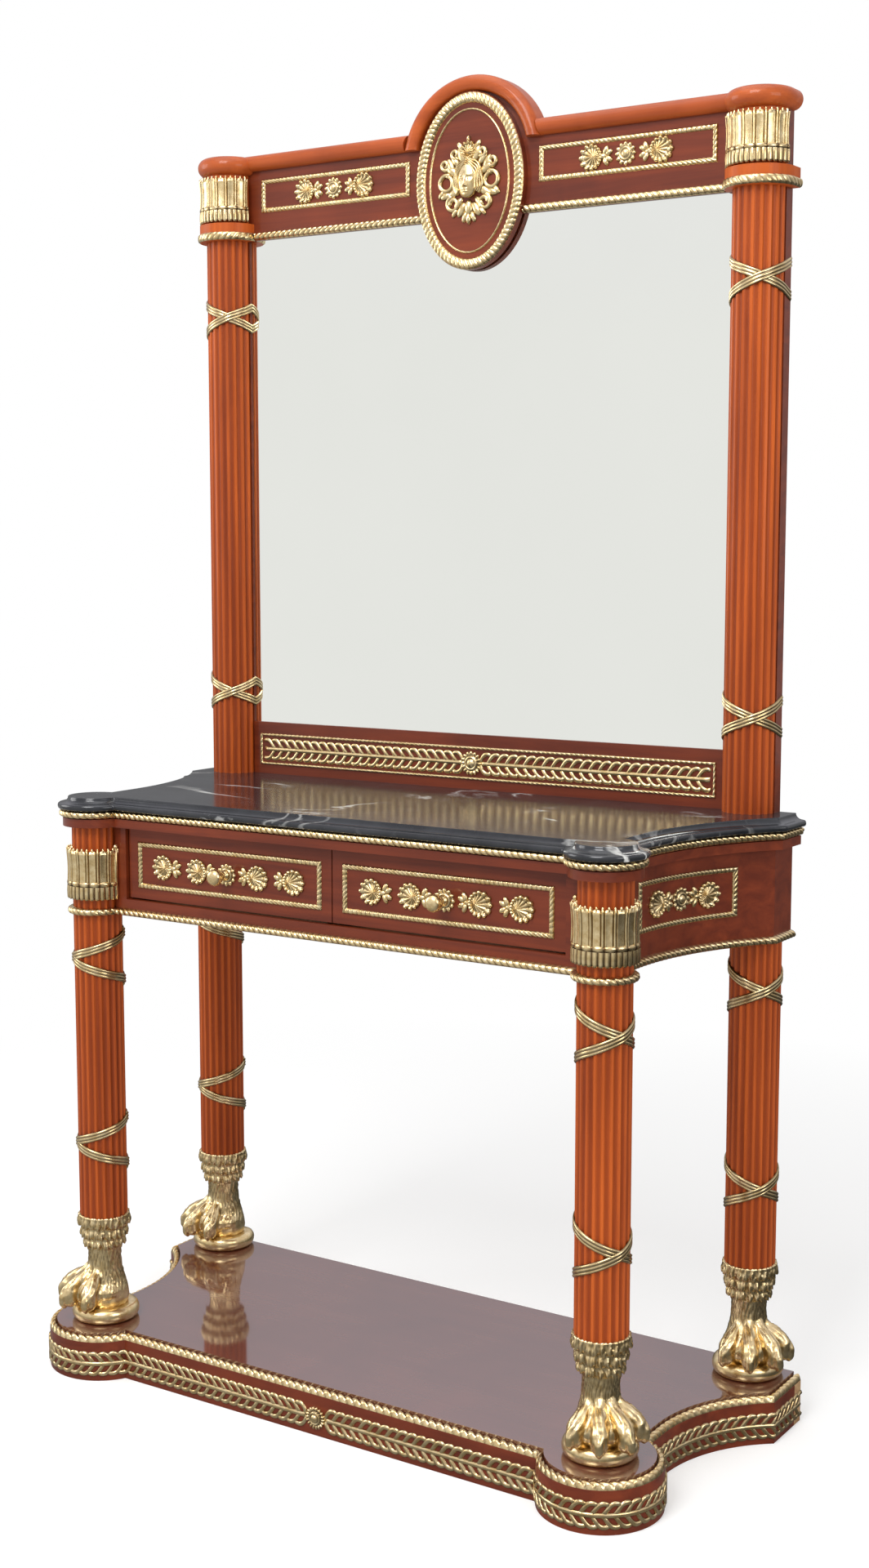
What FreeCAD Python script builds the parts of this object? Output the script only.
"""Pier table with a standing mirror: mahogany, gilt mounts, black marble, two drawers.

Millimetres. +Z is up, the front faces -Y, +X is to the right seen from the front, and the origin
is on the floor under the middle of the table's box.
"""
import FreeCAD, Part
import os
import re

import Sketcher
from FreeCAD import Rotation, Vector

# Driving dimensions
DIMENSIONS = {
    # Legs, counted from the axes of the two front legs
    "leg_spread": 478,
    "rear_leg_step": 56,
    "rear_leg_back": 45,
    "back_set": 430,
    "leg_length": 524,
    "column_radius": 40,
    "flute_count": 20,
    "flute_radius": 6,
    "flute_depth": 2.5,
    # Shaped plinth
    "plinth_height": 66,
    "plinth_front": 45,
    "lobe_radius": 94,
    "plinth_waist_step": 37,
    "plinth_cove": 240,
    "plinth_cove_set": 130,
    "plinth_end_step": 94,
    "plinth_back_gap": 8,
    "plinth_rail": 24,
    "shelf_thick": 12,
    "shelf_inset": 12,
    "gadroon_height": 10,
    "laurel_thick": 3,
    "laurel_bottom": 8.5,
    "laurel_height": 41.5,
    "rosette_radius": 19,
    "rosette_thick": 6,
    # Paw feet on their discs
    "disc_radius": 56.5,
    "disc_height": 25,
    "disc_bevel": 8,
    "paw_height": 149,
    "sole_radius": 42,
    "sole_shift": 16,
    "instep_radius": 38,
    "instep_rise": 34,
    "instep_shift": 12,
    "ankle_radius": 25,
    "ankle_rise": 76,
    "cuff_radius": 33,
    "cuff_rise": 104,
    "collar_wall": 4.5,
    "collar_rim": 10,
    "toe_length": 25,
    "toe_width": 15,
    "toe_height": 17,
    "toe_lift": 12,
    "inner_toe_reach": 61,
    "inner_toe_angle": 17,
    "outer_toe_reach": 50,
    "outer_toe_angle": 54,
    # Ribbons
    "ribbon_width": 15,
    "ribbon_thick": 2.5,
    "ribbon_steep_climb": 106,
    "ribbon_flat_climb": 79,
    "ribbon_upper_drop": 76,
    "ribbon_lower_rise": 133,
    "pilaster_ribbon_climb": 104,
    "pilaster_ribbon_rise": 148,
    "pilaster_ribbon_drop": 132,
    # Apron
    "apron_cove": 440,
    "apron_cove_set": 94,
    "apron_end_step": 94,
    "rail_thick": 22,
    "stile_width": 24,
    "corner_block": 60,
    "band_height": 14,
    "band_lip": 14,
    "top_rope_height": 14,
    "rope_lip": 20,
    "bottom_rope_lip": 9,
    "bottom_rope_height": 13,
    "bottom_rope_drop": 2,
    "capital_rise": 25,
    "capital_tier": 20,
    "capital_bead": 7,
    "capital_height": 85,
    "capital_flare": 9.5,
    "capital_foot": 9,
    "capital_waist": 6.5,
    "capital_bead_lip": 9,
    # Gilt frames and mounts
    "frame_strip": 8.5,
    "frame_thick": 3,
    "palmette_radius": 19,
    "palmette_thick": 5,
    "mount_reach": 63,
    "mount_pitch": 71,
    "side_mount_reach": 57,
    "mount_gap": 1,
    "tail_radius": 8,
    "mount_rosette_radius": 18.5,
    "mount_rosette_thick": 7,
    "side_frame_start": 98,
    "side_frame_length": 213,
    # Drawers
    "drawer_rise": 27,
    "drawer_height": 115,
    "drawer_top_gap": 4,
    "drawer_gap": 1,
    "drawer_end_gap": 3,
    "drawer_recess": 6,
    "drawer_front_lift": 2,
    "drawer_board": 12,
    "drawer_back_gap": 41,
    "drawer_side_drop": 25,
    "drawer_panel_thick": 6,
    "drawer_panel_rise": 6,
    "drawer_groove": 5,
    "drawer_frame_inset": 19,
    "knob_radius": 13.5,
    "knob_face_radius": 9,
    "knob_stem_radius": 5,
    "knob_stem_length": 11,
    "knob_flare": 8,
    "knob_belt": 8,
    "knob_crown": 7,
    "partition_thick": 16,
    "runner_width": 26,
    "guide_height": 25,
    # Marble
    "marble_thick": 20,
    "marble_lip": 22,
    "marble_nose": 10,
    "marble_step": 5,
    "marble_edge_lip": 4,
    # Mirror
    "pilaster_step": 30,
    "stile_depth": 22,
    "pilaster_radius": 42,
    "mirror_board": 23,
    "mirror_rebate": 8,
    "glass_thick": 5,
    "glass_set": 4,
    "backboard_thick": 8,
    "panel_height": 93,
    "glass_height": 847,
    "frieze_height": 118,
    "block_drop": 0.5,
    "block_height": 29,
    "block_radius": 54,
    "leaf_radius": 46,
    "leaf_set": 14,
    "leaf_gap": 2,
    "leaf_clear": 3,
    "leaf_flare": 8,
    "cap_drop": 6,
    "cap_height": 31,
    "cap_radius": 56,
    "cornice_height": 26,
    "cornice_lip": 16,
    "arch_radius": 132,
    "arch_drop": 24,
    "frieze_rope_height": 14,
    "frieze_rope_thick": 8,
    "frieze_frame_side": 29,
    "frieze_frame_drop": 15,
    "panel_frame_rise": 16,
    "panel_frame_drop": 20,
    "panel_frame_side": 14.5,
    "panel_frame_strip": 5,
    "panel_laurel_gap": 4,
    "oval_side_gap": 3,
    "oval_top_gap": 1,
    "oval_frame_gap": 21,
    "oval_stretch": 38,
    "oval_thick": 12,
    "oval_rope_width": 18,
    "oval_rope_thick": 6,
    "oval_line_gap": 8,
    "oval_line_width": 3,
    "oval_line_thick": 2.5,
    "mask_width": 27,
    "mask_height": 38,
    "mask_cheek_depth": 13,
    "mask_cheek_share": 0.9,
    "mask_depth": 22,
    "mask_front_share": 0.5,
    "mask_plate_side": 16,
    "mask_plate_rise": 42,
    "mask_plate_thick": 4,
    "strap_thick": 2.5,
    "strap_width": 40,
    "strap_length": 200,
    # Clearance of a glued or pinned fit, and of a sliding one
    "fit": 0.2,
    "slide_gap": 0.3,
    # How far a cutting tool runs past the piece that it cuts
    "overrun": 1,
}

# Places that follow from the driving dimensions
DERIVED = {
    "front_axis": "(lobe_radius + laurel_thick - back_set - strap_thick) / 2",
    "back_face": "front_axis + back_set",
    "rear_axis": "back_face - rear_leg_back",
    "rear_leg_spread": "leg_spread + rear_leg_step",
    "plinth_waist": "leg_spread + plinth_waist_step",
    "plinth_end": "plinth_waist + plinth_end_step",
    "apron_end": "leg_spread + apron_end_step",
    "collar_radius": "column_radius + collar_wall",
    "plinth_back": "back_face - plinth_back_gap",
    "shelf_top": "plinth_height + shelf_thick",
    "disc_top": "shelf_top + disc_height",
    "leg_bottom": "disc_top + paw_height",
    "apron_bottom": "leg_bottom + leg_length",
    "capital_bottom": "apron_bottom + capital_rise",
    "drawer_bottom": "apron_bottom + drawer_rise",
    "drawer_top": "drawer_bottom + drawer_height",
    "band_bottom": "drawer_top + drawer_top_gap",
    "apron_top": "band_bottom + band_height + top_rope_height",
    "opening_half": "leg_spread - column_radius - stile_width",
    "drawer_outer": "opening_half - drawer_end_gap",
    "drawer_face": "front_axis + drawer_recess",
    "drawer_back": "front_axis + rail_thick",
    "drawer_end": "back_face - rail_thick - drawer_back_gap",
    "marble_top": "apron_top + marble_thick",
    "pilaster_spread": "leg_spread + pilaster_step",
    "pilaster_axis": "back_face - stile_depth",
    "mirror_face": "back_face - mirror_board",
    "mirror_half": "pilaster_spread - pilaster_radius",
    "panel_top": "marble_top + panel_height",
    "panel_frame_bottom": "marble_top + panel_frame_rise",
    "panel_frame_top": "panel_top - panel_frame_drop",
    "glass_face": "mirror_face + glass_set",
    "frieze_bottom": "panel_top + glass_height",
    "frieze_top": "frieze_bottom + frieze_height",
    "block_bottom": "frieze_bottom - block_drop",
    "cap_bottom": "frieze_top - cap_drop",
    "leaf_bottom": "block_bottom + block_height + leaf_gap",
    "leaf_top": "cap_bottom - leaf_clear",
    "arch_centre": "frieze_top - arch_drop",
    "arch_inside": "arch_radius - cornice_height",
    "oval_face": "mirror_face - oval_thick",
    "oval_width": "arch_inside - oval_side_gap",
    "oval_height": "oval_width + oval_stretch",
    "oval_centre": "arch_centre + arch_inside - oval_top_gap - oval_height",
    "oval_border": "oval_rope_width + oval_line_gap + oval_line_width",
    "mask_plate_width": "oval_width - oval_border - mask_plate_side",
    "mask_plate_height": "oval_height - oval_border - mask_plate_rise",
    "frieze_frame_near": "oval_width + oval_frame_gap",
    "frieze_frame_far": "mirror_half - frieze_frame_side",
    "frieze_frame_top": "frieze_top - frieze_frame_drop",
    "frieze_frame_bottom": "frieze_frame_top - 2 * (palmette_radius + mount_gap + frame_strip)",
}

SIDES = (("left", -1), ("right", 1))
# Where each leg's ribbons cross, in degrees from the front, and how much they climb in a turn
LEG_RIBBONS = {
    "front_left": (-48, "ribbon_flat_climb"),
    "front_right": (66, "ribbon_steep_climb"),
    "rear_left": (-48, "ribbon_flat_climb"),
    "rear_right": (45, "ribbon_steep_climb"),
}
PILASTER_RIBBON_HEADING = 30
# The turns that each arm of a ribbon makes, enough to meet the other arm at the back
RIBBON_TURNS = 1.08
PAW_HEADING = 45
Z_AXIS = Vector(0, 0, 1)
ALONG_X = Rotation(Vector(0, 1, 0), 90)
ALONG_Y = Rotation(Vector(1, 0, 0), -90)
UPRIGHT = Rotation(Vector(1, 0, 0), 90)

doc = FreeCAD.newDocument("PierTable")
sheet = doc.addObject("Spreadsheet::Sheet", "Sizes")
nodes = {}


def fill_sheet():
    """Writes the driving dimensions as plain numbers and the places as formulas."""
    row = 0
    for alias, value in DIMENSIONS.items():
        row += 1
        sheet.set(f"A{row}", alias)
        sheet.set(f"B{row}", str(value))
        sheet.setAlias(f"B{row}", alias)
    for alias, formula in DERIVED.items():
        row += 1
        sheet.set(f"A{row}", alias)
        sheet.set(f"B{row}", "=" + formula)
        sheet.setAlias(f"B{row}", alias)
    doc.recompute()


def qualified(formula):
    """The formula with each size's name led by the sheet's name."""
    def with_sheet(match):
        word = match.group()
        known = word in DIMENSIONS or word in DERIVED
        return "Sizes." + word if known else word
    return re.sub(r"[a-z][a-z_]*", with_sheet, str(formula))


def bind(thing, prop, formula):
    """Ties a property to a formula of the sheet's sizes."""
    thing.setExpression(prop, qualified(formula))


def size(formula):
    """The present value of a formula."""
    return float(sheet.evalExpression(qualified(formula)))


def place(thing, x=0, y=0, z=0, turn=None):
    """Binds an object's position, and turns it when asked."""
    if turn is not None:
        thing.Placement = FreeCAD.Placement(Vector(), turn)
    for axis, formula in (("x", x), ("y", y), ("z", z)):
        bind(thing, f"Placement.Base.{axis}", formula)


def middle_span(half):
    """The span from minus half to plus half."""
    return f"-({half})", f"{half}"


def side_span(sign, near, far):
    """A span that runs outward on the side that the sign names."""
    if sign > 0:
        return f"{near}", f"{far}"
    return f"-({far})", f"-({near})"


def block(name, x, y, z):
    """A box between two limits along each axis."""
    solid = doc.addObject("Part::Box", name)
    for prop, (low, high) in zip(("Length", "Width", "Height"), (x, y, z)):
        bind(solid, prop, f"({high}) - ({low})")
    place(solid, x[0], y[0], z[0])
    return solid


def post(name, x, y, z, radius):
    """An upright cylinder."""
    solid = doc.addObject("Part::Cylinder", name)
    bind(solid, "Radius", radius)
    bind(solid, "Height", f"({z[1]}) - ({z[0]})")
    place(solid, x, y, z[0])
    return solid


def boss(name, x, z, y, radius):
    """A cylinder along the Y axis."""
    solid = doc.addObject("Part::Cylinder", name)
    bind(solid, "Radius", radius)
    bind(solid, "Height", f"({y[1]}) - ({y[0]})")
    place(solid, x, y[0], z, ALONG_Y)
    return solid


def cone(name, x, y, z, low_radius, high_radius):
    """An upright truncated cone."""
    solid = doc.addObject("Part::Cone", name)
    bind(solid, "Radius1", low_radius)
    bind(solid, "Radius2", high_radius)
    bind(solid, "Height", f"({z[1]}) - ({z[0]})")
    place(solid, x, y, z[0])
    return solid


def oval_ring(name, half_width, half_height, y):
    """An upright ellipse round the middle of the oval plaque."""
    outline = doc.addObject("Part::Ellipse", name)
    bind(outline, "MajorRadius", half_height)
    bind(outline, "MinorRadius", half_width)
    upright = Rotation(Vector(0, 0, 1), Vector(1, 0, 0), Vector(0, 1, 0), "ZXY")
    place(outline, 0, y, "oval_centre", upright)
    return outline


def oval(name, half_width, half_height, y):
    """An upright elliptical slab round the middle of the oval plaque."""
    slab = doc.addObject("Part::Extrusion", name)
    slab.Base = oval_ring(name + "_outline", half_width, half_height, y[0])
    slab.DirMode = "Custom"
    slab.Dir = Vector(0, 1, 0)
    slab.Solid = True
    bind(slab, "LengthFwd", f"({y[1]}) - ({y[0]})")
    return slab


def fuse(name, *solids):
    """One solid of several."""
    joined = doc.addObject("Part::MultiFuse", name)
    joined.Shapes = list(solids)
    joined.Refine = True
    return joined


def cut(name, base, *tools):
    """A solid less its tools."""
    result = doc.addObject("Part::Cut", name)
    result.Base = base
    result.Tool = tools[0] if len(tools) == 1 else fuse(name + "_tools", *tools)
    result.Refine = True
    return result


def common(name, *solids):
    """What the solids share."""
    result = doc.addObject("Part::MultiCommon", name)
    result.Shapes = list(solids)
    result.Refine = True
    return result


def group(name, solids):
    """Separate solids kept in one node."""
    result = doc.addObject("Part::Compound", name)
    result.Links = list(solids)
    return result


def node(label, thing):
    """Names a finished piece."""
    thing.Label = label
    nodes[label] = thing
    return thing


# The shaped plan: round lobes at the front legs, coved sides and a straight return at the back
PLINTH_PLAN = {
    "front": "front_axis - plinth_front",
    "lobe": "lobe_radius",
    "waist": "plinth_waist",
    "cove": "plinth_cove",
    "cove_y": "front_axis + plinth_cove_set",
    "end": "plinth_end",
    "back": "plinth_back",
}
APRON_PLAN = {
    "front": "front_axis",
    "lobe": "column_radius",
    "waist": "leg_spread",
    "cove": "apron_cove",
    "cove_y": "front_axis + apron_cove_set",
    "end": "apron_end",
    "back": "back_face",
}


def shaped_slab(name, plan, out, z):
    """A slab with the shaped plan, grown outward by out."""
    front = f"{plan['front']} - ({out})"
    nose = block(name + "_nose", middle_span(f"{plan['waist']} + ({out})"), (front, plan["cove_y"]), z)
    tail_y = (plan["cove_y"], plan["back"])
    tail = block(name + "_tail", middle_span(f"{plan['end']} + ({out})"), tail_y, z)
    coves = []
    lobes = []
    for side, sign in SIDES:
        cove_x = f"{sign} * ({plan['waist']} + {plan['cove']})"
        coves.append(post(f"{name}_cove_{side}", cove_x, plan["cove_y"], z, f"{plan['cove']} - ({out})"))
        lobe_x = f"{sign} * leg_spread"
        lobes.append(post(f"{name}_lobe_{side}", lobe_x, "front_axis", z, f"{plan['lobe']} + ({out})"))
    return fuse(name, nose, cut(name + "_coved", tail, *coves), *lobes)


def sloped_block(name, half, front, back, z):
    """A block whose half width and front change from one height to the other."""
    solid = doc.addObject("Part::Wedge", name)
    for prop, formula in (("Xmin", f"-({half[0]})"), ("Xmax", half[0]),
                          ("X2min", f"-({half[1]})"), ("X2max", half[1]),
                          ("Zmin", f"-({back})"), ("Zmax", f"-({front[0]})"),
                          ("Z2min", f"-({back})"), ("Z2max", f"-({front[1]})"),
                          ("Ymin", z[0]), ("Ymax", z[1])):
        bind(solid, prop, formula)
    place(solid, turn=UPRIGHT)
    return solid


def sloped_slab(name, plan, out, z):
    """A slab with the shaped plan, whose edge leans from the first growth to the second."""
    fronts = [f"{plan['front']} - ({grow})" for grow in out]
    nose = sloped_block(name + "_nose", [f"{plan['waist']} + ({grow})" for grow in out], fronts,
                        plan["cove_y"], z)
    tail = sloped_block(name + "_tail", [f"{plan['end']} + ({grow})" for grow in out],
                        [plan["cove_y"]] * 2, plan["back"], z)
    coves = []
    lobes = []
    for side, sign in SIDES:
        cove_x = f"{sign} * ({plan['waist']} + {plan['cove']})"
        coves.append(cone(f"{name}_cove_{side}", cove_x, plan["cove_y"], z,
                          *(f"{plan['cove']} - ({grow})" for grow in out)))
        lobes.append(cone(f"{name}_lobe_{side}", f"{sign} * leg_spread", "front_axis", z,
                          *(f"{plan['lobe']} + ({grow})" for grow in out)))
    return fuse(name, nose, cut(name + "_coved", tail, *coves), *lobes)


def shaped_band(name, plan, inner, outer, z):
    """A band that follows the front and the sides of the shaped plan, and is open at the back."""
    longer = dict(plan, back=plan["back"] + " + overrun")
    whole = shaped_slab(name + "_outer", plan, outer, z)
    return cut(name, whole, shaped_slab(name + "_inner", longer, inner, z))


def flat_sketch(body, name):
    """A sketch on the body's own XY plane."""
    sketch = body.newObject("Sketcher::SketchObject", name)
    plane = next(item for item in body.Origin.OriginFeatures if item.Role == "XY_Plane")
    sketch.AttachmentSupport = [(plane, "")]
    sketch.MapMode = "FlatFace"
    return sketch


def fluted_column(name, x, y, z, radius):
    """A round shaft with flutes cut by a pattern round its axis."""
    body = doc.addObject("PartDesign::Body", name)
    shaft_sketch = flat_sketch(body, name + "_shaft_sketch")
    shaft_sketch.addGeometry(Part.Circle(Vector(), Z_AXIS, size(radius)))
    shaft_sketch.addConstraint(Sketcher.Constraint("Coincident", 0, 3, -1, 1))
    rim = shaft_sketch.addConstraint(Sketcher.Constraint("Radius", 0, size(radius)))
    bind(shaft_sketch, f"Constraints[{rim}]", radius)
    shaft = body.newObject("PartDesign::Pad", name + "_shaft")
    shaft.Profile = shaft_sketch
    bind(shaft, "Length", f"({z[1]}) - ({z[0]})")
    flute_sketch = flat_sketch(body, name + "_flute_sketch")
    flute_centre = f"{radius} + flute_radius - flute_depth"
    flute_sketch.addGeometry(Part.Circle(Vector(size(flute_centre), 0, 0), Z_AXIS, size("flute_radius")))
    flute_sketch.addConstraint(Sketcher.Constraint("PointOnObject", 0, 3, -1))
    reach = flute_sketch.addConstraint(Sketcher.Constraint("DistanceX", -1, 1, 0, 3, size(flute_centre)))
    bind(flute_sketch, f"Constraints[{reach}]", flute_centre)
    hollow = flute_sketch.addConstraint(Sketcher.Constraint("Radius", 0, size("flute_radius")))
    bind(flute_sketch, f"Constraints[{hollow}]", "flute_radius")
    flute = body.newObject("PartDesign::Pocket", name + "_flute")
    flute.Profile = flute_sketch
    flute.Type = "ThroughAll"
    flute.Reversed = True
    flutes = body.newObject("PartDesign::PolarPattern", name + "_flutes")
    flutes.Originals = [flute]
    flutes.Axis = (flute_sketch, ["N_Axis"])
    flutes.Angle = 360
    bind(flutes, "Occurrences", "flute_count")
    body.Tip = flutes
    place(body, x, y, z[0])
    return body


def leg_places():
    """Name, position and outward side of each leg."""
    for side, sign in SIDES:
        yield f"front_{side}", f"{sign} * leg_spread", "front_axis", sign
    for side, sign in SIDES:
        yield f"rear_{side}", f"{sign} * rear_leg_spread", "rear_axis", sign


def build_plinth():
    """Rails, top board and gilt bands of the shaped plinth."""
    rise = ("0", "plinth_height")
    wide = middle_span("plinth_end + plinth_rail")
    split = "front_axis + plinth_cove_set - plinth_rail"
    inner_back = "plinth_back - plinth_rail"
    frame = shaped_band("plinth_frame", PLINTH_PLAN, "-plinth_rail", "0", rise)
    front_zone = block("plinth_front_zone", wide, ("front_axis - 2 * lobe_radius", split), rise)
    node("plinth_front_rail", common("plinth_front", frame, front_zone))
    for side, sign in SIDES:
        zone_x = side_span(sign, "0", "plinth_end + plinth_rail")
        zone = block(f"plinth_zone_{side}", zone_x, (split, inner_back), rise)
        node(f"plinth_side_{side}", common(f"plinth_cheek_{side}", frame, zone))
    rear_y = (inner_back, "plinth_back")
    node("plinth_back_rail", block("plinth_rear", middle_span("plinth_end"), rear_y, rise))
    shelf_z = ("plinth_height", "shelf_top")
    node("plinth_top_board", shaped_slab("shelf", PLINTH_PLAN, "-shelf_inset", shelf_z))
    gadroon_rise = ("plinth_height", "plinth_height + gadroon_height")
    node("plinth_gadroon", shaped_band("gadroon", PLINTH_PLAN, "fit - shelf_inset", "0", gadroon_rise))
    laurel_rise = ("laurel_bottom", "laurel_bottom + laurel_height")
    laurel = shaped_band("laurel_band", PLINTH_PLAN, "fit", "laurel_thick", laurel_rise)
    band_face = "front_axis - plinth_front - laurel_thick"
    rosette = boss("laurel_rosette", 0, "laurel_bottom + laurel_height / 2",
                   (f"{band_face} - rosette_thick", band_face), "rosette_radius")
    node("plinth_laurel", fuse("laurel", laurel, rosette))


def build_disc(name, x, y):
    """A turned bronze disc, cut off level with the plinth's back."""
    z = ("shelf_top", "disc_top")
    low = (z[0], f"{z[0]} + disc_bevel")
    high = (f"{z[1]} - disc_bevel", z[1])
    bun = fuse(f"disc_bun_{name}",
               cone(f"disc_low_{name}", x, y, low, "disc_radius - disc_bevel", "disc_radius"),
               post(f"disc_belt_{name}", x, y, (low[1], high[0]), "disc_radius"),
               cone(f"disc_high_{name}", x, y, high, "disc_radius", "disc_radius - disc_bevel"))
    behind = block(f"disc_behind_{name}", (f"{x} - 2 * disc_radius", f"{x} + 2 * disc_radius"),
                   ("plinth_back", "plinth_back + 2 * disc_radius"), z)
    return cut(f"disc_{name}", bun, behind)


def build_paw(name, x, y, sign):
    """A lion's paw: a lofted leg from the sole to the collar, with four toes, turned outward."""
    sections = (
        ("0", "sole_radius", "sole_shift"),
        ("instep_rise", "instep_radius", "instep_shift"),
        ("ankle_rise", "ankle_radius", "0"),
        ("cuff_rise", "cuff_radius", "0"),
        ("paw_height", "collar_radius", "0"),
    )
    rings = []
    for index, (rise, radius, shift) in enumerate(sections):
        ring = doc.addObject("Part::Circle", f"paw_ring_{name}_{index}")
        bind(ring, "Radius", radius)
        place(ring, 0, f"-({shift})", rise)
        rings.append(ring)
    shank = doc.addObject("Part::Loft", f"paw_shank_{name}")
    shank.Sections = rings
    shank.Solid = True
    rim_z = ("paw_height", "paw_height + collar_rim")
    rim = post(f"paw_rim_{name}", 0, 0, rim_z, "collar_radius")
    socket = post(f"paw_socket_{name}", 0, 0, rim_z, "column_radius + fit")
    collar = cut(f"paw_collar_{name}", rim, socket)
    toes = []
    for row, reach, angle in (("inner", "inner_toe_reach", "inner_toe_angle"),
                              ("outer", "outer_toe_reach", "outer_toe_angle")):
        for side, turn in SIDES:
            toe = doc.addObject("Part::Ellipsoid", f"paw_toe_{name}_{row}_{side}")
            bind(toe, "Radius1", "toe_height")
            bind(toe, "Radius2", "toe_width")
            bind(toe, "Radius3", "toe_length")
            toe.Angle1 = -90
            toe.Angle2 = 90
            toe.Angle3 = 360
            heading = Rotation(Z_AXIS, turn * size(angle))
            place(toe, f"{turn} * {reach} * sin({angle} * 1 deg)", f"-({reach}) * cos({angle} * 1 deg)",
                  "toe_lift", heading)
            toes.append(toe)
    whole = fuse(f"paw_whole_{name}", shank, collar, *toes)
    wide = middle_span("inner_toe_reach + 2 * toe_length")
    above = block(f"paw_above_{name}", wide, wide, ("0", rim_z[1]))
    paw = common(f"paw_{name}", whole, above)
    place(paw, x, y, "disc_top", Rotation(Z_AXIS, PAW_HEADING * sign))
    return paw


def round_skin(name, x, y, z, radius):
    """A thin tube round a shaft, as thick as a ribbon."""
    outer = post(name + "_outer", x, y, z, f"{radius} + fit + ribbon_thick")
    return cut(name, outer, post(name + "_inner", x, y, z, f"{radius} + fit"))


def stile_skin(name, sign, z):
    """The same round a pilaster and the flat sides of its stile, as far as the back and the glass."""
    x = f"{sign} * pilaster_spread"
    layers = []
    for layer, reach in (("outer", "(pilaster_radius + fit + ribbon_thick)"),
                         ("inner", "(pilaster_radius + fit)")):
        front = post(f"{name}_{layer}_front", x, "pilaster_axis", z, reach)
        flanks = block(f"{name}_{layer}_flanks", (f"{x} - {reach}", f"{x} + {reach}"),
                       ("pilaster_axis", f"pilaster_axis + {reach}"), z)
        layers.append(fuse(f"{name}_{layer}", front, flanks))
    far = ("back_face", "back_face + 2 * pilaster_radius")
    rear = block(name + "_rear", side_span(sign, "0", "2 * pilaster_spread"), far, z)
    pane = block(name + "_pane", side_span(sign, "0", "pilaster_spread"), ("glass_face - fit", far[1]), z)
    return cut(name, layers[0], layers[1], rear, pane)


def ribbon_reach(z, radius):
    """The height that a ribbon's bands stay within."""
    return f"{z} - 3 * {radius}", f"{z} + 3 * {radius}"


def ribbon_arm(name, x, y, z, radius, climb, start, hand):
    """A ramp that winds up round a shaft from an angle, as tall as a ribbon is on the shaft."""
    path = doc.addObject("Part::Helix", name + "_path")
    bind(path, "Pitch", climb)
    bind(path, "Height", f"{climb} * {RIBBON_TURNS}")
    bind(path, "Radius", radius)
    path.LocalCoord = "Right-handed" if hand > 0 else "Left-handed"
    low = f"{z} - {climb} * {RIBBON_TURNS} / 2"
    place(path, x, y, low, Rotation(Z_AXIS, start))
    tall = f"(ribbon_width * sqrt(1 + ({climb} / (2 * pi * {radius})) ^ 2))"
    section = doc.addObject("Part::Plane", name + "_section")
    bind(section, "Length", "2 * ribbon_width")
    bind(section, "Width", tall)
    near = f"({radius} - ribbon_width)"
    place(section, f"{x} + {near} * cos({start} deg)", f"{y} + {near} * sin({start} deg)",
          f"{low} - {tall} / 2", Rotation(Z_AXIS, start).multiply(UPRIGHT))
    ramp = doc.addObject("Part::Sweep", name)
    ramp.Sections = [section]
    ramp.Spine = (path, ["Edge1"])
    ramp.Solid = True
    ramp.Frenet = True
    return ramp


def ribbon_wrap(name, skin, x, y, z, radius, climb, heading):
    """Two bands that wind opposite ways round a shaft, joined where they cross."""
    arms = []
    for side, hand in SIDES:
        start = heading - 90 - hand * 180 * RIBBON_TURNS
        arms.append(ribbon_arm(f"{name}_arm_{side}", x, y, z, radius, climb, start, hand))
    return common(name, skin, fuse(name + "_arms", *arms))


def build_legs():
    """Discs, paws, fluted columns and ribbons of the four legs."""
    discs = []
    paws = []
    ribbons = []
    for name, x, y, sign in leg_places():
        discs.append(build_disc(name, x, y))
        paws.append(build_paw(name, x, y, sign))
        top = "apron_top" if name.startswith("front") else "apron_bottom"
        node(f"leg_{name}", fluted_column(f"column_{name}", x, y, ("leg_bottom", top), "column_radius"))
        for level, z in (("upper", "apron_bottom - ribbon_upper_drop"),
                         ("lower", "leg_bottom + ribbon_lower_rise")):
            wrap = f"ribbon_{name}_{level}"
            skin = round_skin(wrap + "_skin", x, y, ribbon_reach(z, "column_radius"), "column_radius")
            heading, climb = LEG_RIBBONS[name]
            ribbons.append(ribbon_wrap(wrap, skin, x, y, z, "column_radius", climb, heading))
    node("foot_discs", group("discs", discs))
    node("paw_feet", group("paws", paws))
    node("leg_ribbons", group("leg_ribbon_set", ribbons))


def leg_holes(name, z):
    """Cylinders that clear the two front legs."""
    return [post(f"{name}_hole_{side}", f"{sign} * leg_spread", "front_axis", z, "column_radius + fit")
            for side, sign in SIDES]


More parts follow.
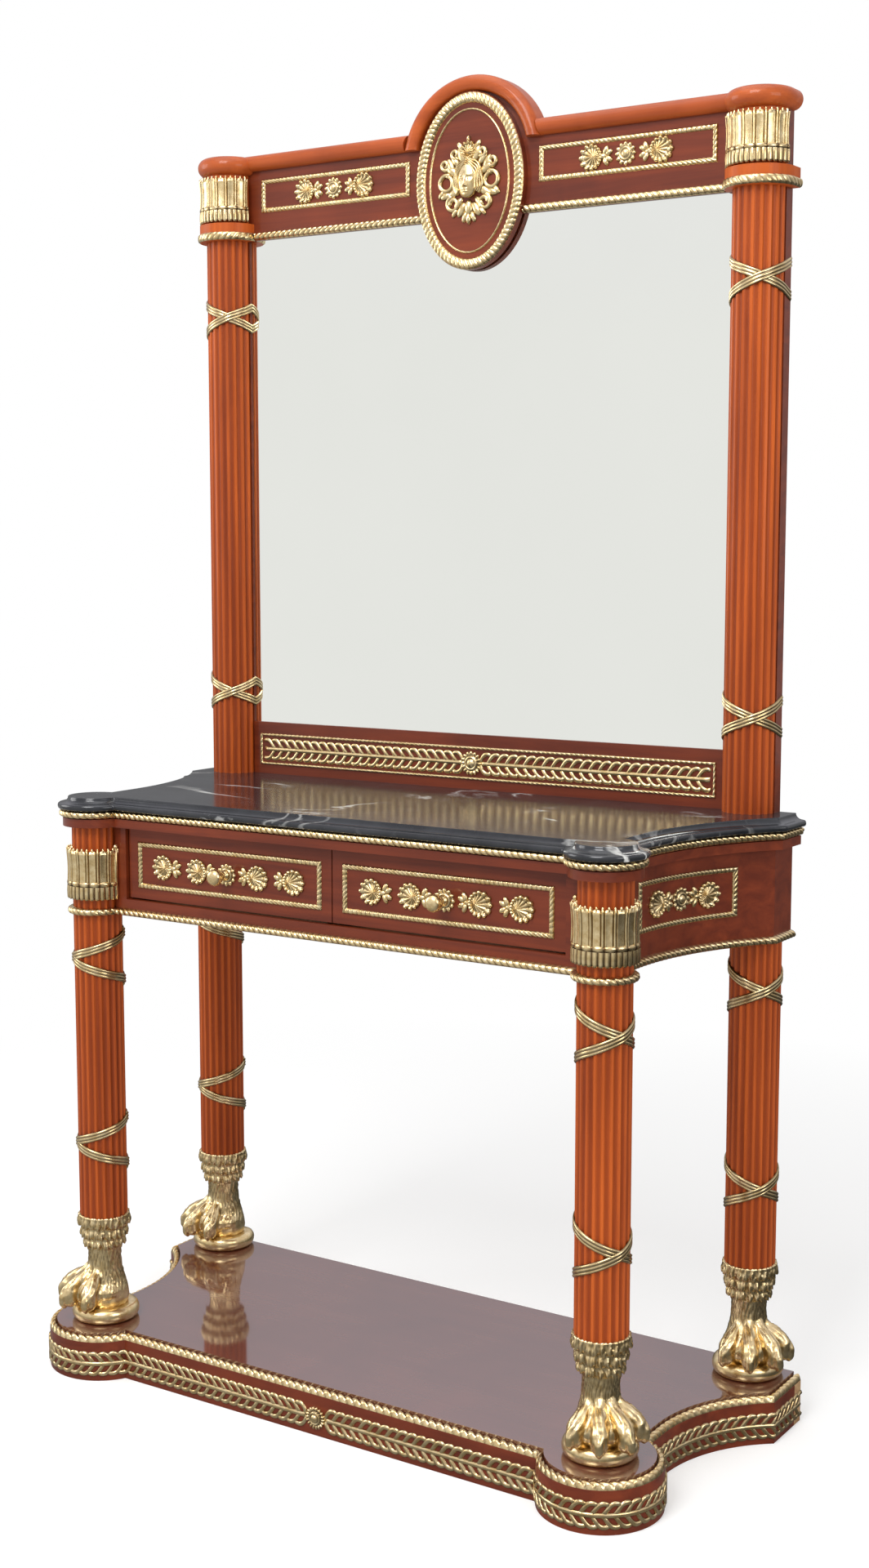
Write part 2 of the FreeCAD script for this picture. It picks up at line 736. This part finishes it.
def build_apron():
    """Rails, stiles, coved sides and inner blocks of the apron."""
    depth = ("front_axis", "front_axis + rail_thick")
    rear = ("back_face - rail_thick", "back_face")
    inside = (depth[1], rear[0])
    for name, z in (("top", ("drawer_top + drawer_gap", "apron_top")),
                    ("bottom", ("apron_bottom", "drawer_bottom - drawer_gap"))):
        rail = block(f"rail_{name}", middle_span("leg_spread"), depth, z)
        node(f"apron_{name}_rail", cut(f"front_rail_{name}", rail, *leg_holes(f"rail_{name}", z)))
    opening = ("drawer_bottom - drawer_gap", "drawer_top + drawer_gap")
    stiles = []
    for side, sign in SIDES:
        leg = post(f"stile_hole_{side}", f"{sign} * leg_spread", "front_axis", opening, "column_radius + fit")
        upright = block(f"stile_post_{side}", side_span(sign, "opening_half", "leg_spread"), depth, opening)
        stiles.append(cut(f"stile_{side}", upright, leg))
    node("apron_front_stiles", group("stiles", stiles))
    height = ("apron_bottom", "apron_top")
    shell = shaped_band("apron_shell", APRON_PLAN, "-rail_thick", "0", height)
    blocks = []
    for side, sign in SIDES:
        zone_x = side_span(sign, "leg_spread - rail_thick", "apron_end + rail_thick")
        zone = block(f"apron_zone_{side}", zone_x, ("front_axis", "back_face"), height)
        leg = post(f"apron_hole_{side}", f"{sign} * leg_spread", "front_axis", height, "column_radius + fit")
        node(f"apron_side_{side}", cut(f"apron_cheek_{side}", common(f"apron_wall_{side}", shell, zone), leg))
        corner = side_span(sign, "apron_end - rail_thick - corner_block", "apron_end - rail_thick")
        blocks.append(block(f"corner_block_{side}", corner, (f"{rear[0]} - corner_block", rear[0]),
                            ("apron_bottom", "apron_bottom + corner_block")))
    cheeks = shaped_slab("apron_inside", APRON_PLAN, "-rail_thick", height)
    node("rear_corner_blocks", group("corner_blocks", [common(f"{blank.Name}_fitted", blank, cheeks)
                                                       for blank in blocks]))
    node("apron_back_rail", block("rail_rear", middle_span("apron_end - rail_thick"), rear, height))
    node("drawer_partition", block("partition", middle_span("partition_thick / 2"), inside,
                                   ("drawer_bottom - slide_gap", "apron_top")))
    runner_z = ("apron_bottom", "drawer_bottom - slide_gap")
    runners = [block("runner_middle", middle_span("runner_width"), inside, runner_z)]
    for side, sign in SIDES:
        ledge = block(f"runner_ledge_{side}", side_span(sign, "drawer_outer - runner_width", "opening_half"),
                      inside, runner_z)
        guide = block(f"runner_guide_{side}", side_span(sign, "drawer_outer - drawer_gap", "opening_half"),
                      inside, ("apron_bottom", "drawer_bottom + guide_height"))
        runners.append(fuse(f"runner_{side}", ledge, guide))
    node("drawer_runners", group("runners", runners))


def build_apron_trim():
    """Band, ropes and leaf capitals of the apron."""
    band_z = ("band_bottom", "band_bottom + band_height")
    node("apron_band", shaped_band("band", APRON_PLAN, "fit", "band_lip", band_z))
    node("apron_top_rope", shaped_band("top_rope", APRON_PLAN, "fit", "rope_lip", (band_z[1], "apron_top")))
    rope_low = "apron_bottom - bottom_rope_drop"
    rope_z = (rope_low, f"{rope_low} + bottom_rope_height")
    rope = shaped_band("bottom_rope_whole", APRON_PLAN, "fit", "bottom_rope_lip", rope_z)
    rear_legs = [post(f"bottom_rope_hole_{side}", f"{sign} * rear_leg_spread", "rear_axis", rope_z,
                      "column_radius + fit") for side, sign in SIDES]
    node("apron_bottom_rope", cut("bottom_rope", rope, *rear_legs))
    capitals = []
    capital_z = ("capital_bottom", "capital_bottom + capital_height")
    for side, sign in SIDES:
        drum = leaf_drum(f"corner_{side}", f"{sign} * leg_spread", "front_axis", "column_radius",
                         "capital_flare", capital_z)
        corner = shaped_slab(f"capital_seat_{side}", APRON_PLAN, "fit", capital_z)
        capitals.append(cut(f"corner_capital_{side}", drum, corner))
    node("corner_capitals", group("capitals", capitals))


def leaf_drum(name, x, y, radius, flare, z):
    """The outer form of a leaf capital: a short lower tier, a bead and a flared crown."""
    tier = (z[0], f"{z[0]} + capital_tier")
    bead = (tier[1], f"{tier[1]} + capital_bead")
    crown = (bead[1], z[1])
    return fuse(name + "_drum",
                cone(name + "_tier", x, y, tier, f"{radius} + capital_foot", f"{radius} + capital_waist"),
                post(name + "_bead", x, y, bead, f"{radius} + capital_bead_lip"),
                cone(name + "_crown", x, y, crown, f"{radius} + capital_waist", f"{radius} + {flare}"))


def flat_frame(name, x, z, y, strip):
    """A flat gilt strip round a rectangle that faces the front."""
    outer = block(name + "_outer", x, y, z)
    inner = block(name + "_inner", (f"{x[0]} + {strip}", f"{x[1]} - {strip}"), y,
                  (f"{z[0]} + {strip}", f"{z[1]} - {strip}"))
    return cut(name, outer, inner)


def mount_row(name, x, z, face, palmettes):
    """A rosette with palmettes on each side of it, seated on a face that looks to the front."""
    pieces = [boss(name + "_rosette", x, z, (f"{face} - mount_rosette_thick", face), "mount_rosette_radius")]
    depth = (f"{face} - palmette_thick", face)
    for side, sign in SIDES:
        for index in range(palmettes):
            centre = f"{x} + {sign} * (mount_reach + mount_pitch * {index})"
            fan = boss(f"{name}_fan_{side}_{index}", centre, z, depth, "palmette_radius")
            tail_x = f"{centre} - {sign} * (palmette_radius + tail_radius / 2)"
            tail = boss(f"{name}_tail_{side}_{index}", tail_x, z, depth, "tail_radius")
            pieces.append(fuse(f"{name}_palmette_{side}_{index}", fan, tail))
    return pieces


def build_side_gilt():
    """Gilt frames and mounts on the coved sides of the apron."""
    z = ("drawer_bottom + drawer_frame_inset", "drawer_top - drawer_frame_inset")
    y = ("front_axis + side_frame_start", "front_axis + side_frame_start + side_frame_length")
    skin = shaped_band("side_skin", APRON_PLAN, "fit", "frame_thick", z)
    pieces = []
    middle_y = "side_frame_start + side_frame_length / 2 - apron_cove_set"
    for side, sign in SIDES:
        x = side_span(sign, "0", "2 * apron_end")
        zone = block(f"side_frame_zone_{side}", x, y, z)
        window = block(f"side_frame_window_{side}", x, (f"{y[0]} + frame_strip", f"{y[1]} - frame_strip"),
                       (f"{z[0]} + frame_strip", f"{z[1]} - frame_strip"))
        pieces.append(cut(f"side_frame_{side}", common(f"side_frame_blank_{side}", skin, zone), window))
        for index, radius, thick in ((-1, "palmette_radius", "palmette_thick"),
                                     (0, "mount_rosette_radius", "mount_rosette_thick"),
                                     (1, "palmette_radius", "palmette_thick")):
            along = f"({middle_y} + {index} * side_mount_reach)"
            seat = f"(sqrt(apron_cove ^ 2 - ({radius}) ^ 2) - fit)"
            sine = f"({along} / apron_cove)"
            cosine = f"sqrt(1 - {sine} ^ 2)"
            disc = doc.addObject("Part::Cylinder", f"side_mount_{side}_{index + 1}")
            bind(disc, "Radius", radius)
            bind(disc, "Height", thick)
            outward = Vector(sign * size(cosine), -size(sine), 0)
            place(disc, f"{sign} * (leg_spread + apron_cove - {seat} * {cosine})",
                  f"front_axis + apron_cove_set + {seat} * {sine}", f"({z[0]} + {z[1]}) / 2",
                  Rotation(Z_AXIS, outward))
            pieces.append(disc)
    node("apron_side_gilt", group("side_gilt", pieces))


def build_marble():
    """The marble slab, with a straight nose below and an edge that slopes back above it."""
    nose_z = ("apron_top", "apron_top + marble_nose")
    nose = shaped_slab("marble_low", APRON_PLAN, "marble_lip", nose_z)
    slope = sloped_slab("marble_high", APRON_PLAN, ("marble_lip - marble_step", "marble_edge_lip"),
                        (nose_z[1], "marble_top"))
    node("marble_top", fuse("marble", nose, slope))


def build_drawer(side, sign):
    """One drawer: front, boards, bottom panel, gilt and knob."""
    front_x = side_span(sign, "drawer_gap", "drawer_outer")
    node(f"drawer_{side}_front", block(f"front_{side}", front_x, ("drawer_face", "drawer_back"),
                                       ("drawer_bottom + drawer_front_lift", "drawer_top")))
    inner = "(partition_thick / 2 + drawer_gap)"
    outer = "(drawer_outer - 2 * drawer_gap)"
    length = ("drawer_back", "drawer_end")
    z = ("drawer_bottom", "drawer_top - drawer_side_drop")
    panel_z = ("drawer_bottom + drawer_panel_rise", "drawer_bottom + drawer_panel_rise + drawer_panel_thick")
    groove_z = (f"{panel_z[0]} - fit / 2", f"{panel_z[1]} + fit / 2")
    near_side = (inner, f"{inner} + drawer_board")
    far_side = (f"{outer} - drawer_board", outer)
    groove_x = (f"{near_side[1]} - drawer_groove", f"{far_side[0]} + drawer_groove")
    groove = block(f"groove_{side}", side_span(sign, *groove_x), length, groove_z)
    boards = []
    for name, span in (("near", near_side), ("far", far_side)):
        blank = block(f"board_{side}_{name}", side_span(sign, *span), length, z)
        boards.append(cut(f"drawer_board_{side}_{name}", blank, groove))
    between = side_span(sign, near_side[1], far_side[0])
    back_y = (f"{length[1]} - drawer_board", length[1])
    boards.append(block(f"board_{side}_back", between, back_y, (groove_z[1], z[1])))
    node(f"drawer_{side}_boards", group(f"boards_{side}", boards))
    panel_x = side_span(sign, f"{groove_x[0]} + fit", f"{groove_x[1]} - fit")
    node(f"drawer_{side}_bottom", block(f"panel_{side}", panel_x, length, panel_z))
    gilt_x = side_span(sign, "drawer_gap + drawer_frame_inset", "drawer_outer - drawer_frame_inset")
    gilt_z = ("drawer_bottom + drawer_frame_inset", "drawer_top - drawer_frame_inset")
    gilt = [flat_frame(f"drawer_frame_{side}", gilt_x, gilt_z, ("drawer_face - frame_thick", "drawer_face"),
                       "frame_strip")]
    middle = f"{sign} * (drawer_gap + drawer_outer) / 2"
    height = "(drawer_bottom + drawer_top) / 2"
    gilt += mount_row(f"drawer_mount_{side}", middle, height, "drawer_face", 2)
    node(f"drawer_{side}_gilt", group(f"drawer_gilt_{side}", gilt))
    build_knob(side, middle, height)


def build_knob(side, x, z):
    """A turned knob: stem, flared neck, belt and bevelled crown, seated on the drawer's rosette."""
    flare_end = "knob_stem_length + knob_flare"
    belt_end = f"{flare_end} + knob_belt"
    crown_end = f"{belt_end} + knob_crown"
    knob = turned_body(f"knob_{side}", (
        ("0", "0"),
        ("knob_stem_radius", "0"),
        ("knob_stem_radius", "knob_stem_length"),
        ("knob_radius", flare_end),
        ("knob_radius", belt_end),
        ("knob_face_radius", crown_end),
        ("0", crown_end),
    ))
    place(knob, x, "drawer_face - mount_rosette_thick", z, Rotation(Z_AXIS, 180))
    node(f"drawer_{side}_knob", knob)


def turned_body(name, profile):
    """A body turned about its Y axis from a profile of radius and reach."""
    body = doc.addObject("PartDesign::Body", name)
    sketch = flat_sketch(body, name + "_profile")
    points = [Vector(size(radius), size(reach), 0) for radius, reach in profile]
    count = len(points)
    for index in range(count):
        sketch.addGeometry(Part.LineSegment(points[index], points[(index + 1) % count]))
    for index in range(count):
        sketch.addConstraint(Sketcher.Constraint("Coincident", index, 2, (index + 1) % count, 1))
    for index, (radius, reach) in enumerate(profile):
        for kind, formula, axis in (("DistanceX", radius, -2), ("DistanceY", reach, -1)):
            if formula == "0":
                sketch.addConstraint(Sketcher.Constraint("PointOnObject", index, 1, axis))
            else:
                term = Sketcher.Constraint(kind, -1, 1, index, 1, size(formula))
                bind(sketch, f"Constraints[{sketch.addConstraint(term)}]", formula)
    turned = body.newObject("PartDesign::Revolution", name + "_turned")
    turned.Profile = sketch
    turned.ReferenceAxis = (sketch, ["V_Axis"])
    turned.Angle = 360
    body.Tip = turned
    return body


def build_mirror_frame():
    """Stiles, lower panel, frieze board, glass, back board and straps."""
    stiles = []
    depth = ("mirror_face", "back_face")
    rebate_y = ("glass_face", "back_face")
    glass_x = middle_span("mirror_half + mirror_rebate")
    glass_z = ("panel_top - mirror_rebate", "frieze_bottom + mirror_rebate")
    rebate = block("rebate", glass_x, rebate_y, glass_z)
    for side, sign in SIDES:
        board_x = side_span(sign, "mirror_half", "pilaster_spread + pilaster_radius")
        board_y = ("pilaster_axis", "back_face")
        board = block(f"stile_board_{side}", board_x, board_y, ("marble_top", "cap_bottom"))
        stiles.append(cut(f"mirror_stile_{side}", board, rebate))
    node("mirror_stiles", group("mirror_stile_pair", stiles))
    panel = block("lower_panel_blank", middle_span("mirror_half"), depth, ("marble_top", "panel_top"))
    node("mirror_lower_panel", cut("lower_panel", panel, rebate))
    board = block("frieze_blank", middle_span("mirror_half"), depth, ("frieze_bottom", "frieze_top"))
    arch_fill = boss("arch_fill", 0, "arch_centre", depth, "arch_inside - fit")
    above_z = ("frieze_top", "arch_centre + arch_radius")
    above = block("arch_fill_zone", middle_span("arch_radius"), depth, above_z)
    tympanum = common("tympanum", arch_fill, above)
    node("frieze_board", cut("frieze", fuse("frieze_arched", board, tympanum), rebate))
    pane_x = middle_span("mirror_half + mirror_rebate - fit")
    pane_z = ("panel_top - mirror_rebate + fit", "frieze_bottom + mirror_rebate - fit")
    glass_back = "glass_face + glass_thick"
    node("mirror_glass", block("glass", pane_x, ("glass_face", glass_back), pane_z))
    board_y = (glass_back, f"{glass_back} + backboard_thick")
    node("mirror_back_board", block("back_board", pane_x, board_y, pane_z))
    straps = []
    for side, sign in SIDES:
        strap_x = side_span(sign, "pilaster_spread - strap_width / 2", "pilaster_spread + strap_width / 2")
        straps.append(block(f"strap_{side}", strap_x, ("back_face", "back_face + strap_thick"),
                            ("apron_top - strap_length / 2", "apron_top + strap_length / 2")))
    node("mirror_straps", group("straps", straps))


def frieze_space(name, sign, top):
    """The room that the frieze board takes beside a pilaster, up to a height."""
    return block(f"{name}_frieze_space", side_span(sign, "0", "mirror_half"), ("mirror_face", "back_face"),
                 ("frieze_bottom - block_height", top))


def build_pilasters():
    """Half-round fluted shafts with their turned blocks, leaf capitals and ribbons."""
    leaves = []
    ribbons = []
    for side, sign in SIDES:
        x = f"{sign} * pilaster_spread"
        reach = "2 * cap_radius"
        front_half = block(f"pilaster_zone_{side}", (f"{x} - {reach}", f"{x} + {reach}"),
                           (f"pilaster_axis - {reach}", "pilaster_axis"), ("marble_top", "cap_bottom"))
        shaft = fluted_column(f"pilaster_shaft_{side}", x, "pilaster_axis", ("marble_top", "block_bottom"),
                              "pilaster_radius")
        block_z = ("block_bottom", "block_bottom + block_height")
        turned = post(f"pilaster_block_{side}", x, "pilaster_axis", block_z, "block_radius")
        neck = post(f"pilaster_neck_{side}", x, "pilaster_axis", (block_z[1], "cap_bottom"),
                    "pilaster_radius")
        half = common(f"pilaster_half_{side}", fuse(f"pilaster_whole_{side}", shaft, turned, neck),
                      front_half)
        flank_x = side_span(sign, "pilaster_spread + pilaster_radius", "pilaster_spread + block_radius")
        flank = block(f"pilaster_flank_{side}", flank_x, ("pilaster_axis", "back_face"), block_z)
        node(f"pilaster_{side}", cut(f"pilaster_fitted_{side}", fuse(f"pilaster_joined_{side}", half, flank),
                                     frieze_space(f"pilaster_{side}", sign, "cap_bottom")))
        leaf_z = ("leaf_bottom", "leaf_top")
        drum = leaf_drum(f"pilaster_leaf_{side}", x, "pilaster_axis", "leaf_radius", "leaf_flare", leaf_z)
        core = post(f"pilaster_core_{side}", x, "pilaster_axis", leaf_z, "pilaster_radius + fit")
        ring = cut(f"pilaster_ring_{side}", drum, core)
        leaf_zone = block(f"pilaster_leaf_zone_{side}", (f"{x} - {reach}", f"{x} + {reach}"),
                          (f"pilaster_axis - {reach}", "pilaster_axis - leaf_set"), leaf_z)
        leaves.append(common(f"pilaster_capital_{side}", ring, leaf_zone))
        for level, z in (("lower", "marble_top + pilaster_ribbon_rise"),
                         ("upper", "block_bottom - pilaster_ribbon_drop")):
            wrap = f"pilaster_ribbon_{side}_{level}"
            skin = stile_skin(wrap + "_skin", sign, ribbon_reach(z, "pilaster_radius"))
            ribbons.append(ribbon_wrap(wrap, skin, x, "pilaster_axis", z, "pilaster_radius",
                                       "pilaster_ribbon_climb", PILASTER_RIBBON_HEADING))
    node("pilaster_capitals", group("pilaster_leaves", leaves))
    node("pilaster_ribbons", group("pilaster_ribbon_set", ribbons))


def bullnose_run(name, x, y, z):
    """A straight moulding with a half-round front."""
    half = f"(({z[1]}) - ({z[0]})) / 2"
    flat = block(name + "_flat", x, (f"{y[0]} + {half}", y[1]), z)
    nose = doc.addObject("Part::Cylinder", name + "_nose")
    bind(nose, "Radius", half)
    bind(nose, "Height", f"({x[1]}) - ({x[0]})")
    place(nose, x[0], f"{y[0]} + {half}", f"({z[0]} + {z[1]}) / 2", ALONG_X)
    return fuse(name, flat, nose)


def build_cornice():
    """Cornice runs with their round caps, and the arch over the oval plaque."""
    depth = ("mirror_face - cornice_lip", "back_face")
    run_z = ("frieze_top", "frieze_top + cornice_height")
    cap_z = ("cap_bottom", "cap_bottom + cap_height")
    reach = "2 * arch_radius"
    arch_zone = block("arch_zone", middle_span(reach), depth, ("frieze_top", "arch_centre + arch_radius"))
    arch_middle = "arch_radius - cornice_height / 2"
    nose_y = f"{depth[0]} + cornice_height / 2"
    ring = cut("arch_ring", boss("arch_outer", 0, "arch_centre", (nose_y, depth[1]), "arch_radius"),
               boss("arch_inner", 0, "arch_centre", (nose_y, depth[1]), "arch_inside"))
    nose = doc.addObject("Part::Torus", "arch_nose")
    bind(nose, "Radius1", arch_middle)
    bind(nose, "Radius2", "cornice_height / 2")
    place(nose, 0, nose_y, "arch_centre", ALONG_Y)
    pieces = [common("arch", fuse("arch_moulding", ring, nose), arch_zone)]
    for side, sign in SIDES:
        x = f"{sign} * pilaster_spread"
        run = bullnose_run(f"run_{side}", side_span(sign, "0", "pilaster_spread"), depth, run_z)
        arch_clear = boss(f"run_arch_{side}", 0, "arch_centre", depth, "arch_radius + fit")
        core = post(f"cap_core_{side}", x, "pilaster_axis", cap_z, "cap_radius - cap_height / 2")
        bun = fuse(f"cap_bun_{side}", core, cap_edge(side, x))
        wall = block(f"cap_wall_{side}", (f"{x} - 2 * cap_radius", f"{x} + 2 * cap_radius"),
                     ("pilaster_axis - 2 * cap_radius", "back_face"), cap_z)
        nose_x = "pilaster_spread + cap_radius - cap_height / 2"
        rear_y = ("pilaster_axis", "back_face")
        rear = block(f"cap_rear_{side}", side_span(sign, "mirror_half", nose_x), rear_y, cap_z)
        rear_nose = boss(f"cap_rear_nose_{side}", f"{sign} * ({nose_x})", "cap_bottom + cap_height / 2",
                         rear_y, "cap_height / 2")
        cap = fuse(f"cap_{side}", common(f"cap_round_{side}", bun, wall), rear, rear_nose)
        whole = fuse(f"cornice_whole_{side}", cut(f"run_end_{side}", run, arch_clear), cap)
        pieces.append(cut(f"cornice_run_{side}", whole, frieze_space(f"cap_{side}", sign, "frieze_top")))
    node("cornice", group("cornice_pieces", pieces))


def cap_edge(side, x):
    """The rounded edge of a cap."""
    edge = doc.addObject("Part::Torus", f"cap_edge_{side}")
    bind(edge, "Radius1", "cap_radius - cap_height / 2")
    bind(edge, "Radius2", "cap_height / 2")
    place(edge, x, "pilaster_axis", "cap_bottom + cap_height / 2")
    return edge


def build_mirror_gilt():
    """Ropes, frames, mounts, the oval plaque and the mask."""
    rope_z = ("frieze_bottom", "frieze_bottom + frieze_rope_height")
    oval_gap = oval("oval_gap", "oval_width + fit", "oval_height + fit", ("oval_face", "mirror_face"))
    bar = block("frieze_rope_bar", middle_span("mirror_half"),
                ("mirror_face - frieze_rope_thick", "mirror_face"), rope_z)
    ring_z = ("block_bottom", "block_bottom + frieze_rope_height")
    rings = []
    ring_spaces = []
    for side, sign in SIDES:
        x = f"{sign} * pilaster_spread"
        rope_radius = "block_radius + frieze_rope_thick / 2"
        outer = post(f"block_rope_outer_{side}", x, "pilaster_axis", ring_z, rope_radius)
        inner = post(f"block_rope_inner_{side}", x, "pilaster_axis", ring_z, "block_radius + fit")
        zone_x = (f"{x} - 2 * block_radius", f"{x} + 2 * block_radius")
        front_half = block(f"block_rope_zone_{side}", zone_x, ("pilaster_axis - 2 * block_radius",
                                                               "pilaster_axis"), ring_z)
        half = common(f"block_rope_half_{side}", cut(f"block_rope_ring_{side}", outer, inner), front_half)
        flank_x = side_span(sign, "pilaster_spread + block_radius + fit", f"pilaster_spread + {rope_radius}")
        flank = block(f"block_rope_flank_{side}", flank_x, ("pilaster_axis", "back_face"), ring_z)
        rings.append(cut(f"block_rope_{side}", fuse(f"block_rope_joined_{side}", half, flank),
                         frieze_space(f"block_rope_{side}", sign, "frieze_top")))
        ring_spaces.append(post(f"block_rope_space_{side}", x, "pilaster_axis", rope_z,
                                f"{rope_radius} + fit"))
    runs = cut("frieze_rope_runs", bar, oval_gap, *ring_spaces)
    node("frieze_rope", group("frieze_ropes", [runs, *rings]))
    frame_y = ("mirror_face - frame_thick", "mirror_face")
    frame_z = ("frieze_frame_bottom", "frieze_frame_top")
    gilt = []
    for side, sign in SIDES:
        span = side_span(sign, "frieze_frame_near", "frieze_frame_far")
        gilt.append(flat_frame(f"frieze_frame_{side}", span, frame_z, frame_y, "frame_strip"))
        gilt += mount_row(f"frieze_mount_{side}", f"{sign} * (frieze_frame_near + frieze_frame_far) / 2",
                          "(frieze_frame_bottom + frieze_frame_top) / 2", "mirror_face", 1)
    node("frieze_gilt", group("frieze_mounts", gilt))
    panel_x = "mirror_half - panel_frame_side"
    panel_z = ("panel_frame_bottom", "panel_frame_top")
    inset = "(panel_frame_strip + panel_laurel_gap)"
    frame = flat_frame("panel_frame", middle_span(panel_x), panel_z, frame_y, "panel_frame_strip")
    laurel = block("panel_laurel", middle_span(f"{panel_x} - {inset}"), frame_y,
                   (f"{panel_z[0]} + {inset}", f"{panel_z[1]} - {inset}"))
    rosette = boss("panel_rosette", 0, "(panel_frame_bottom + panel_frame_top) / 2",
                   ("mirror_face - frame_thick - rosette_thick", "mirror_face - frame_thick"),
                   f"(panel_frame_top - panel_frame_bottom) / 2 - {inset}")
    node("panel_gilt", group("panel_mounts", [frame, fuse("panel_wreath", laurel, rosette)]))
    node("oval_plaque", oval("plaque", "oval_width", "oval_height", ("oval_face", "mirror_face")))
    node("oval_gilt", group("oval_bands", [
        oval_band("oval_rope", "0", "oval_rope_width", "oval_rope_thick"),
        oval_band("oval_line", "oval_rope_width + oval_line_gap", "oval_line_width", "oval_line_thick"),
    ]))
    plate_y = ("oval_face - mask_plate_thick", "oval_face")
    plate = oval("mask_plate", "mask_plate_width", "mask_plate_height", plate_y)
    head = doc.addObject("Part::Loft", "mask_head")
    rings = []
    for name, share, depth in (("rim", "1", "0"), ("cheek", "mask_cheek_share", "mask_cheek_depth"),
                               ("front", "mask_front_share", "mask_depth")):
        rings.append(oval_ring(f"mask_{name}", f"mask_width * {share}", f"mask_height * {share}",
                               f"oval_face - {depth}"))
    head.Sections = rings
    head.Solid = True
    head.Ruled = True
    node("mask_mount", fuse("mask", plate, head))


def oval_band(name, inset, width, thick):
    """A gilt band that follows the oval plaque's edge."""
    y = (f"oval_face - {thick}", "oval_face")
    far = f"({inset} + {width})"
    outer = oval(name + "_outer", f"oval_width - ({inset})", f"oval_height - ({inset})", y)
    inner = oval(name + "_inner", f"oval_width - {far}", f"oval_height - {far}", y)
    return cut(name, outer, inner)


def check_document():
    """Stops when any object failed or any piece is empty or invalid."""
    for thing in doc.Objects:
        if {"Invalid", "Error"} & set(thing.State):
            raise RuntimeError(f"{thing.Label} failed: {thing.State}")
    for label, thing in nodes.items():
        if thing.Shape.isNull() or not thing.Shape.isValid() or not thing.Shape.Solids:
            raise RuntimeError(f"{label} has no valid solid")


def write_parts():
    """Writes one file per node."""
    os.makedirs("parts", exist_ok=True)
    for label, thing in nodes.items():
        thing.Shape.exportStep(f"parts/{label}.step")


fill_sheet()
build_plinth()
build_legs()
build_apron()
build_apron_trim()
build_side_gilt()
build_marble()
for drawer_side, drawer_sign in SIDES:
    build_drawer(drawer_side, drawer_sign)
build_mirror_frame()
build_pilasters()
build_cornice()
build_mirror_gilt()
doc.recompute()
check_document()
write_parts()
print(len(nodes), "nodes written")
